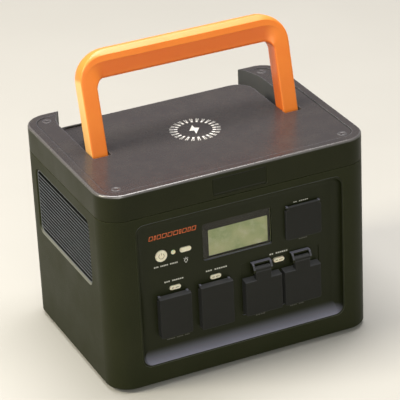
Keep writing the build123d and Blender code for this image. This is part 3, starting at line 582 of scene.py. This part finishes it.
def rounded_outline(width, height, radius, steps=6, x=0.0, z=0.0):
    """Points round a rectangle with rounded corners, counter-clockwise."""
    points = []
    spots = ((1, 1), (-1, 1), (-1, -1), (1, -1))
    for turn, (sx, sz) in enumerate(spots):
        cx, cz = x + sx * (width / 2 - radius), z + sz * (height / 2 - radius)
        for i in range(steps + 1):
            angle = math.radians(90 * turn + 90 * i / steps)
            points.append((cx + radius * math.cos(angle), cz + radius * math.sin(angle)))
    return points


def panel_print(mesh, outline, y=PANEL_Y):
    """A thin printed patch on the panel, from its (x, z) outline."""
    front = [(x, y - INK_LIFT, z) for x, z in outline]
    back = [(x, y + INK_SINK, z) for x, z in outline]
    skin_rings(mesh, [back, front])


def lid_print(mesh, outline):
    """A thin printed patch on the lid, from its (x, y) outline."""
    foot = [(x, y, LID_PRINT_Z - INK_SINK) for x, y in outline]
    face = [(x, y, LID_PRINT_Z + INK_LIFT) for x, y in outline]
    skin_rings(mesh, [foot, face])


# ---- carry handle ----------------------------------------------------------------------------
def handle_section(depth, share):
    """Half outline of the handle's section as (inward, across) points. An arm (share 0) is a block
    with small rounds. The grip (share 1) has a wide bevel, a flat band, and a long slope that starts
    with a small step. Each size is given for an arm and for the grip."""
    def size(arm, grip):
        return arm + (grip - arm) * share

    half = HANDLE_HALF
    band_end = size(7.2, 13.3)
    step = (size(7.3, 13.7), half - size(0.0, 0.65))
    foot_r = size(1.8, 3.8)
    foot_half = half - size(0.0, 4.2)
    slope_end = depth - foot_r
    side = outer_edge(size(1.8, 6.0), size(1.8, 5.5), size(0.0, 0.96))
    side += [(band_end - 0.8, half), (band_end, half), step]
    for i in range(1, 6):
        t = i / 5
        side.append((step[0] + (slope_end - step[0]) * t, step[1] + (foot_half - step[1]) * t))
    for i in range(1, ROUND_STEPS + 1):
        angle = math.radians(90 * i / ROUND_STEPS)
        side.append((slope_end + foot_r * math.sin(angle), foot_half - foot_r * (1 - math.cos(angle))))
    return side + [(inward, -across) for inward, across in reversed(side)]


def outer_edge(drop, inset, straight):
    """Edge between the outer face and the side of the section, from a quarter round (straight 0) to
    a flat bevel (straight 1). It reaches drop inward and inset across."""
    points = []
    for i in range(ROUND_STEPS + 1):
        t = i / ROUND_STEPS
        angle = math.radians(90 * t)
        down, out = 1 - math.cos(angle), 1 - math.sin(angle)
        points.append((drop * (down + (t - down) * straight),
                       HANDLE_HALF - inset * (out + (1 - t - out) * straight)))
    return points


def arc_points(cx, cz, radius, start, end, steps):
    """Points along an arc, from the angle start to the angle end in degrees."""
    angles = [math.radians(start + (end - start) * i / steps) for i in range(steps + 1)]
    return [(cx + radius * math.cos(a), cz + radius * math.sin(a)) for a in angles]


def smooth_step(t):
    """0 up to t = 0 and 1 from t = 1, with an even ease between them."""
    t = min(max(t, 0.0), 1.0)
    return t * t * (3 - 2 * t)


def handle_stations():
    """(outer point, inner point, section share, half-thickness share) along the right half,
    from the end of the arm below the pivot up to the middle of the grip."""
    inner_x, outer_x = HANDLE_ARM_X
    out_cx, out_cz = outer_x - HANDLE_OUT_R, HANDLE_REACH - HANDLE_OUT_R
    under = HANDLE_REACH - HANDLE_GRIP
    in_cx, in_cz = inner_x - HANDLE_IN_R, under - HANDLE_IN_R
    stations = []
    # the round end below the pivot
    for i in range(9):
        angle = math.radians(-88 + 11 * i)
        height = HANDLE_HALF * math.sin(angle)
        stations.append(((outer_x, height), (inner_x, height), 0.0, math.cos(angle)))
    # the straight arm
    for i in range(1, 10):
        t = i / 9
        stations.append(((outer_x, out_cz * t), (inner_x, in_cz * t), 0.0, 1.0))
    # the corner
    outer = arc_points(out_cx, out_cz, HANDLE_OUT_R, 0, 90, CORNER_STEPS)[1:]
    inner = arc_points(in_cx, in_cz, HANDLE_IN_R, 0, 90, CORNER_STEPS)[1:]
    for i, (o, n) in enumerate(zip(outer, inner)):
        share = smooth_step((i - CORNER_HOLD) / (CORNER_STEPS - CORNER_HOLD))
        stations.append((o, n, share, 1.0))
    # half of the straight grip
    for i in range(1, 9):
        t = i / 8
        stations.append(((out_cx * (1 - t), HANDLE_REACH), (in_cx * (1 - t), under), 1.0, 1.0))
    return stations


def leaned(x, across, height):
    """A point of the upright handle turned about its pivot to where it stands at rest."""
    angle = math.radians(HANDLE_TILT)
    y = across * math.cos(angle) + height * math.sin(angle)
    z = height * math.cos(angle) - across * math.sin(angle)
    return (x, HANDLE_PIVOT[0] + y, HANDLE_PIVOT[1] + z)


def carry_handle():
    """The whole handle, swept along its path with a section that changes in the corners."""
    right = handle_stations()
    left = [((-o[0], o[1]), (-n[0], n[1]), s, w) for o, n, s, w in reversed(right[:-1])]
    rings = []
    for (ox, oz), (nx, nz), share, width in right + left:
        depth = math.hypot(nx - ox, nz - oz)
        ring = []
        for inward, across in handle_section(depth, share):
            t = inward / depth
            ring.append(leaned(ox + (nx - ox) * t, -across * width, oz + (nz - oz) * t))
        rings.append(ring)
    mesh = bmesh.new()
    skin_rings(mesh, rings)
    piece = add_piece("carry_handle", mesh, "handle", "handle_orange", smooth=12.5, replaced=("handle",))
    bore_handle(piece)


def bore_handle(piece):
    """Cut the holes that the bushes sit in."""
    cutter = bmesh.new()
    for side in (-1, 1):
        middle = side * sum(HANDLE_ARM_X) / 2
        move = Matrix.Translation((middle, *HANDLE_PIVOT))
        turn = Matrix.Rotation(math.pi / 2, 4, "Y")
        bmesh.ops.create_cone(cutter, cap_ends=True, segments=48, radius1=HANDLE_BORE_R,
                              radius2=HANDLE_BORE_R, depth=30, matrix=move @ turn)
    cutter.transform(Matrix.Scale(MM, 4))
    data = bpy.data.meshes.new("bore")
    cutter.to_mesh(data)
    cutter.free()
    tool = bpy.data.objects.new("bore", data)
    bpy.context.scene.collection.objects.link(tool)
    cut = piece.modifiers.new("bore", "BOOLEAN")
    cut.operation = "DIFFERENCE"
    cut.object = tool
    cut.solver = "EXACT"
    bpy.context.view_layer.update()
    evaluated = piece.evaluated_get(bpy.context.evaluated_depsgraph_get())
    bored = bpy.data.meshes.new_from_object(evaluated)
    piece.modifiers.clear()
    piece.data = bored
    bored.name = piece.name
    bpy.data.objects.remove(tool)


# ---- vent grilles ----------------------------------------------------------------------------
def opening_half(z, inset):
    """Half the width of the vent opening at height z, less an inset."""
    middle = sum(VENT_Z) / 2
    half_y = (VENT_Y[1] - VENT_Y[0]) / 2 - inset
    half_z = (VENT_Z[1] - VENT_Z[0]) / 2 - inset
    radius = VENT_R - inset
    over = abs(z - middle) - (half_z - radius)
    if over <= 0:
        return half_y
    return half_y - radius + math.sqrt(max(radius * radius - over * over, 0))


def louvre_profile(z):
    """(x outward, z) points of one slat: it slopes down to a rounded nose at the outside."""
    nose = arc_points(LOUVRE_NOSE_X, z - 0.2, LOUVRE_NOSE_R, -80, 80, 4)
    return nose + [(LOUVRE_ROOT_X, z + 0.6), (LOUVRE_ROOT_X, z - 0.2)]


def vent_ring(side, grow, x):
    """Outline of the vent opening, grown a little, at a distance x from the middle."""
    width, height = VENT_Y[1] - VENT_Y[0], VENT_Z[1] - VENT_Z[0]
    outline = rounded_outline(width + 2 * grow, height + 2 * grow, VENT_R + grow, 8,
                              sum(VENT_Y) / 2, sum(VENT_Z) / 2)
    return [(side * x, y, z) for y, z in outline]


def grille_frame(mesh, side):
    """Flange behind the wall, and the raised rim round the opening."""
    back = GRILLE_BACK_X
    profile = ((4, back), (4, 161.7), (-0.3, 161.9), (-0.4, 163.1), (-0.7, 163.5), (-1.2, 163.5),
               (-1.6, 163.1), (-2.0, 162.5), (-2.0, back), (4, back))
    skin_rings(mesh, [vent_ring(side, grow, x) for grow, x in profile], closed_ends=False)


def grille_slats(mesh, side):
    """Slats across the whole opening, each as long as the opening is wide at its height."""
    middle_y, middle_z = sum(VENT_Y) / 2, sum(VENT_Z) / 2
    count = int((VENT_Z[1] - VENT_Z[0] - 2 * SLAT_MARGIN) / LOUVRE_PITCH)
    first = middle_z - (count - 1) * LOUVRE_PITCH / 2
    for i in range(count):
        z = first + i * LOUVRE_PITCH
        half = opening_half(z + math.copysign(SLAT_HALF, z - middle_z), SLAT_INSET)
        rings = [[(side * x, y, h) for x, h in louvre_profile(z)]
                 for y in (middle_y - half, middle_y + half)]
        skin_rings(mesh, rings)


def grille_posts(mesh, side):
    """Three tapered posts behind the slats."""
    section = ((POST_X[0], -1), (POST_X[0], 1), (POST_X[1], 0.7), (POST_X[1], -0.7))
    for y in (VENT_Y[0] + POST_INSET, sum(VENT_Y) / 2, VENT_Y[1] - POST_INSET):
        post = [[(side * x, y + dy, z) for x, dy in section]
                for z in (VENT_Z[0] + 1.5, VENT_Z[1] - 1.5)]
        skin_rings(mesh, post)


def louvre_grille(side, name, replaced):
    """Frame, sloping slats and three posts of one side vent."""
    mesh = bmesh.new()
    grille_frame(mesh, side)
    grille_slats(mesh, side)
    grille_posts(mesh, side)
    add_piece(name, mesh, "station", "grille_plastic", replaced=replaced)


def dust_screen(side, name):
    """Cloth stretched over the back of one grille, in front of the fan."""
    mesh = bmesh.new()
    skin_rings(mesh, [vent_ring(side, 2, x) for x in SCREEN_X])
    add_piece(name, mesh, "station", "grille_plastic", finish="screen_cloth")


# ---- printed marks ---------------------------------------------------------------------------
def charge_dash(mesh, degrees, dash):
    """One radial dash of the charging mark, from its inner radius, outer radius and half width."""
    inner, outer, half = dash
    angle = math.radians(degrees)
    along = Vector((math.cos(angle), math.sin(angle)))
    across = Vector((-along.y, along.x))
    corners = ((inner, -1), (outer, -1), (outer, 1), (inner, 1))
    centre = Vector(CHARGE_SPOT)
    lid_print(mesh, [tuple(centre + along * r + across * (sign * half)) for r, sign in corners])


def charge_mark():
    """Ring of radial dashes round a plain bolt, on the wireless charging spot: short thick dashes
    inside, and thin pairs outside."""
    mesh = bmesh.new()
    for i in range(CHARGE_DASHES):
        middle = 360 / CHARGE_DASHES * i
        charge_dash(mesh, middle, SHORT_DASH)
        charge_dash(mesh, middle - LONG_DASH_TURN, LONG_DASH)
        charge_dash(mesh, middle + LONG_DASH_TURN, LONG_DASH)
    bolt = ((2.0, 5.3), (1.6, -2.1), (6.4, -4.9), (-3.6, -17.9), (-2.0, -8.9), (-7.2, -6.9))
    lid_print(mesh, bolt)
    add_piece("charge_mark", mesh, "station", "lid_plastic", finish="ink_white")


def bar(x0, x1, z, height):
    """Outline of a short stroke with round ends."""
    radius = min(height, x1 - x0) / 2 - 0.01
    return rounded_outline(x1 - x0, height, radius, 3, (x0 + x1) / 2, z)


def caption(mesh, x0, x1, z, groups, height, y=PANEL_Y):
    """A row of small blank blocks in place of a caption, in groups like words."""
    pitch = (x1 - x0) / (sum(groups) + len(groups) - 1)
    x = x0
    for count in groups:
        for _ in range(count):
            outline = rounded_outline(pitch * 0.72, height, 0.25, 2, x + pitch / 2, z)
            panel_print(mesh, outline, y)
            x += pitch
        x += pitch


def caption_rows(name, finish, rows):
    """One piece of several captions. A row gives its two ends, its place up the panel, its groups
    and the height of its blocks."""
    mesh = bmesh.new()
    for row in rows:
        caption(mesh, *row)
    add_piece(name, mesh, "station", "panel_plastic", finish=finish)


def panel_captions():
    """Rows beside the power button and the display, and above the outlets."""
    rows = ((-105.0, -75.5, 146.0, (3, 5, 5), 1.8), (-93.5, -69.5, 124.5, (3, 6), 1.8),
            (-42.0, -15.0, 124.5, (3, 6), 1.8), (38.5, 62.0, 124.5, (2, 6), 1.8),
            (70.8, 89.9, 183.4, (2, 5), 1.2))
    caption_rows("panel_captions", "ink_grey", rows)


def rating_captions():
    """Fainter rows under the outlet covers, where the ratings stand."""
    rows = ((76.4, 87.5, 135.0, (5,), 1.0), (-94.0, -65.4, 50.6, (5, 4, 3), 1.0),
            (-42.0, -22.0, 50.6, (4, 4), 1.0), (18.4, 31.0, 50.6, (4,), 1.0),
            (63.0, 81.0, 50.6, (4, 3), 1.0))
    caption_rows("rating_captions", "ink_faint", rows)


def slanted_cell(mesh, x, width, z0, z1, stroke=0.75):
    """Outline of a slanted cell, drawn as four strokes."""
    height = z1 - z0
    far = width - stroke

    def block(left, right, low, high):
        corners = ((left, low), (right, low), (right, high), (left, high))
        panel_print(mesh, [(x + along + CELL_SLANT * up, z0 + up) for along, up in corners])

    block(0, stroke, 0, height)
    block(far, width, 0, height)
    block(stroke, far, 0, stroke)
    block(stroke, far, height - stroke, height)


def panel_accent():
    """Row of hollow orange cells of several widths, at the top of the panel."""
    mesh = bmesh.new()
    x = ACCENT_X
    for width in (4.8, 2.2, 4.8, 5.6, 5.6, 5.6, 2.6, 5.2, 3.6, 5.0):
        slanted_cell(mesh, x, width, *ACCENT_Z)
        x += width + CELL_GAP
    add_piece("panel_accent", mesh, "station", "panel_plastic", finish="ink_orange")


def power_mark():
    """An open ring with a stroke in its gap, on the power button."""
    mesh = bmesh.new()
    x, _, z = centre_of("power_button")
    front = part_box("power_button")[0].y / MM
    outer, inner = (arc_points(x, z, radius, -235, 55, 28) for radius in (3.6, 2.9))
    for i in range(len(outer) - 1):
        panel_print(mesh, [outer[i], outer[i + 1], inner[i + 1], inner[i]], front)
    panel_print(mesh, bar(x - 0.4, x + 0.4, z + 2.6, 3.0), front)
    add_piece("power_button_mark", mesh, "power_button", "button_cream", finish="button_mark")


def outlet_button_mark(name):
    """Short blank bars on an outlet button."""
    mesh = bmesh.new()
    x, _, z = centre_of(name)
    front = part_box(name)[0].y / MM
    half = 4.6
    caption(mesh, x - half, x + half, z, (2, 3), 1.4, front)
    add_piece(name + "_mark", mesh, name, "button_cream", finish="button_mark")


def blank_badge():
    """Plain bevelled plate in the shallow recess at the front of the lid."""
    mesh = bmesh.new()
    width, height, radius = 66.4, 20.4, 1.6
    front, back = -122.35, -121.8
    steps = ((0.0, back), (0.0, front + 0.2), (0.4, front), (3.4, front), (3.9, front + 0.25))
    rings = []
    for less, y in steps:
        outline = rounded_outline(width - less, height - less, radius, 4, 0.0, BADGE_Z)
        rings.append([(x, y, z) for x, z in outline])
    skin_rings(mesh, rings)
    add_piece("blank_badge", mesh, "station", "lid_plastic", finish="badge_gloss")


def rim_step_shade():
    """Painted shade: a dark line at the foot of the lid's raised rim, open at the rear where the handle
    folds.
    """
    mesh = bmesh.new()
    width, depth, radius, line, rear = 309.0, 224.0, 17.5, 1.3, 100.0
    outer = rounded_outline(width, depth, radius, 8)
    inner = rounded_outline(width - 2 * line, depth - 2 * line, radius - line, 8)
    pairs = list(zip(outer, inner))
    for (a, b), (c, d) in zip(pairs, pairs[1:] + pairs[:1]):
        crosses_middle = a[0] * c[0] <= 0
        if a[1] < rear or not crosses_middle:
            lid_print(mesh, [a, c, d, b])
    add_piece("rim_step_shade", mesh, "station", "lid_plastic", finish="painted_step_shade")


def plug_caps():
    """Dished caps that close the four screw wells of the lid almost flush."""
    mesh = bmesh.new()
    across, along = LID_WELLS
    profile = ((4.95, -1.5), (4.95, -0.35), (4.6, 0.1), (4.1, 0.1), (3.4, -0.35), (1.6, -0.6))
    for x in (-across, across):
        for y in (-along, along):
            rings = []
            for radius, height in profile:
                circle = arc_points(x, y, radius, 0, 345, 23)
                rings.append([(cx, cy, LID_PRINT_Z + height) for cx, cy in circle])
            skin_rings(mesh, rings)
    add_piece("plug_caps", mesh, "station", "lid_plastic", smooth=40)


def lamp_icon():
    """A small bulb drawn in outline, with three rays."""
    mesh = bmesh.new()
    centre = Vector((-65.3, 145.8))
    outer, inner = (arc_points(*centre, radius, -50, 230, 20) for radius in (2.1, 1.5))
    for i in range(len(outer) - 1):
        panel_print(mesh, [outer[i], outer[i + 1], inner[i + 1], inner[i]])
    panel_print(mesh, bar(centre.x - 1.2, centre.x + 1.2, centre.y - 2.5, 0.7))
    for degrees in (45, 90, 135):
        angle = math.radians(degrees)
        ray = Vector((math.cos(angle), math.sin(angle)))
        side = Vector((-ray.y, ray.x)) * 0.3
        near, far = (centre + ray * radius for radius in (2.7, 3.8))
        panel_print(mesh, [tuple(p) for p in (near - side, far - side, far + side, near + side)])
    add_piece("lamp_icon", mesh, "station", "panel_plastic", finish="ink_white")


# ---- display ---------------------------------------------------------------------------------
def display_mask():
    """Black printed border on the back of the display window."""
    low, high = (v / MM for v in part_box("lcd_window"))
    outer = rounded_outline(high.x - low.x - 0.2, high.z - low.z - 0.2, 2.6, 6,
                            (low.x + high.x) / 2, (low.z + high.z) / 2)
    (x0, x1), (z0, z1) = DISPLAY_X, DISPLAY_Z
    inner = rounded_outline(x1 - x0, z1 - z0, 1.0, 6, (x0 + x1) / 2, (z0 + z1) / 2)
    gap, thickness = 0.03, 0.08
    near = high.y + gap
    far = near + thickness
    loop = ((outer, near), (inner, near), (inner, far), (outer, far), (outer, near))
    mesh = bmesh.new()
    skin_rings(mesh, [[(x, y, z) for x, z in outline] for outline, y in loop], closed_ends=False)
    add_piece("display_mask", mesh, "station", "display_window", finish="ink_black")


# ---- scene -----------------------------------------------------------------------------------
def paint_nodes():
    """Give each CAD node the finish of its slot."""
    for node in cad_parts.values():
        slot = node.data.materials[0].name.split(".")[0]
        node.material_slots[0].material = FINISHES[slot]


def add_camera():
    """The camera stands in front of the object, to its left and above it."""
    camera = bpy.data.objects.new("camera", bpy.data.cameras.new("camera"))
    bpy.context.scene.collection.objects.link(camera)
    right = Vector((0.90355, -0.42626, -0.04350))
    down = Vector((-0.22791, -0.39216, -0.89122))
    ahead = Vector((0.36283, 0.81518, -0.45149))
    place = Matrix((right, -down, -ahead)).transposed().to_4x4()
    place.translation = Vector((-0.9448, -2.13396, 1.33602))
    camera.matrix_world = place
    camera.data.sensor_width = 36
    camera.data.lens = 201.22
    camera.data.clip_end = 50
    bpy.context.scene.camera = camera


def add_light(name, where, target, width, height, power, colour):
    """A rectangular lamp that faces its target. Lengths are metres, and power is watts."""
    data = bpy.data.lights.new(name, "AREA")
    data.shape = "RECTANGLE"
    data.size = width
    data.size_y = height
    data.energy = power
    data.color = colour
    lamp = bpy.data.objects.new(name, data)
    bpy.context.scene.collection.objects.link(lamp)
    lamp.location = where
    lamp.rotation_mode = "QUATERNION"
    lamp.rotation_quaternion = (Vector(target) - Vector(where)).to_track_quat("-Z", "Y")


def add_lights():
    middle = (0, 0, 0.15)
    add_light("key", (-1.9, 0.25, 1.7), middle, 0.8, 0.8, 47, (1.0, 0.92, 0.72))
    add_light("overhead", (0.1, 0.35, 2.6), (0, 0, 0.1), 1.8, 1.2, 90, (1.0, 0.96, 0.94))
    add_light("fill", (-0.8, -2.7, 1.3), middle, 1.8, 1.2, 32, (1.0, 1.0, 0.9))
    world = bpy.data.worlds.new("studio")
    world.use_nodes = True
    background = world.node_tree.nodes["Background"]
    background.inputs["Color"].default_value = (1.0, 0.98, 0.96, 1.0)
    background.inputs["Strength"].default_value = 0.28
    bpy.context.scene.world = world


def add_floor():
    """A wide floor just under the feet."""
    mesh = bpy.data.meshes.new("floor")
    reach = 4.0
    corners = [(-reach, -reach, 0), (reach, -reach, 0), (reach, reach, 0), (-reach, reach, 0)]
    mesh.from_pydata(corners, [], [(0, 1, 2, 3)])
    mesh.materials.append(floor_finish())
    floor = bpy.data.objects.new("floor", mesh)
    floor.location.z = -0.0002
    bpy.context.scene.collection.objects.link(floor)


def build():
    paint_nodes()
    carry_handle()
    for side, side_name in ((-1, "left"), (1, "right")):
        louvre_grille(side, "louvre_grille_" + side_name, ("vent_grille_" + side_name,))
        dust_screen(side, "dust_screen_" + side_name)
    charge_mark()
    panel_captions()
    rating_captions()
    panel_accent()
    power_mark()
    for name in ("usb_button", "dc_button", "ac_button"):
        outlet_button_mark(name)
    blank_badge()
    rim_step_shade()
    plug_caps()
    lamp_icon()
    display_mask()
    add_camera()
    add_lights()
    add_floor()


# ---- run -------------------------------------------------------------------------------------
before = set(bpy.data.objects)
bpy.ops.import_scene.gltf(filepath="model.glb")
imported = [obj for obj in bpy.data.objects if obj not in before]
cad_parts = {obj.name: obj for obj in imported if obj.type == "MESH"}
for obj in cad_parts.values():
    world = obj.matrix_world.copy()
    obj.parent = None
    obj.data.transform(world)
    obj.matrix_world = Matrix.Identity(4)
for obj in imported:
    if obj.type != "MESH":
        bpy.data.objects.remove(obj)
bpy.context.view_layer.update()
FINISHES = make_finishes()
build()
bpy.context.scene.view_settings.view_transform = "Standard"
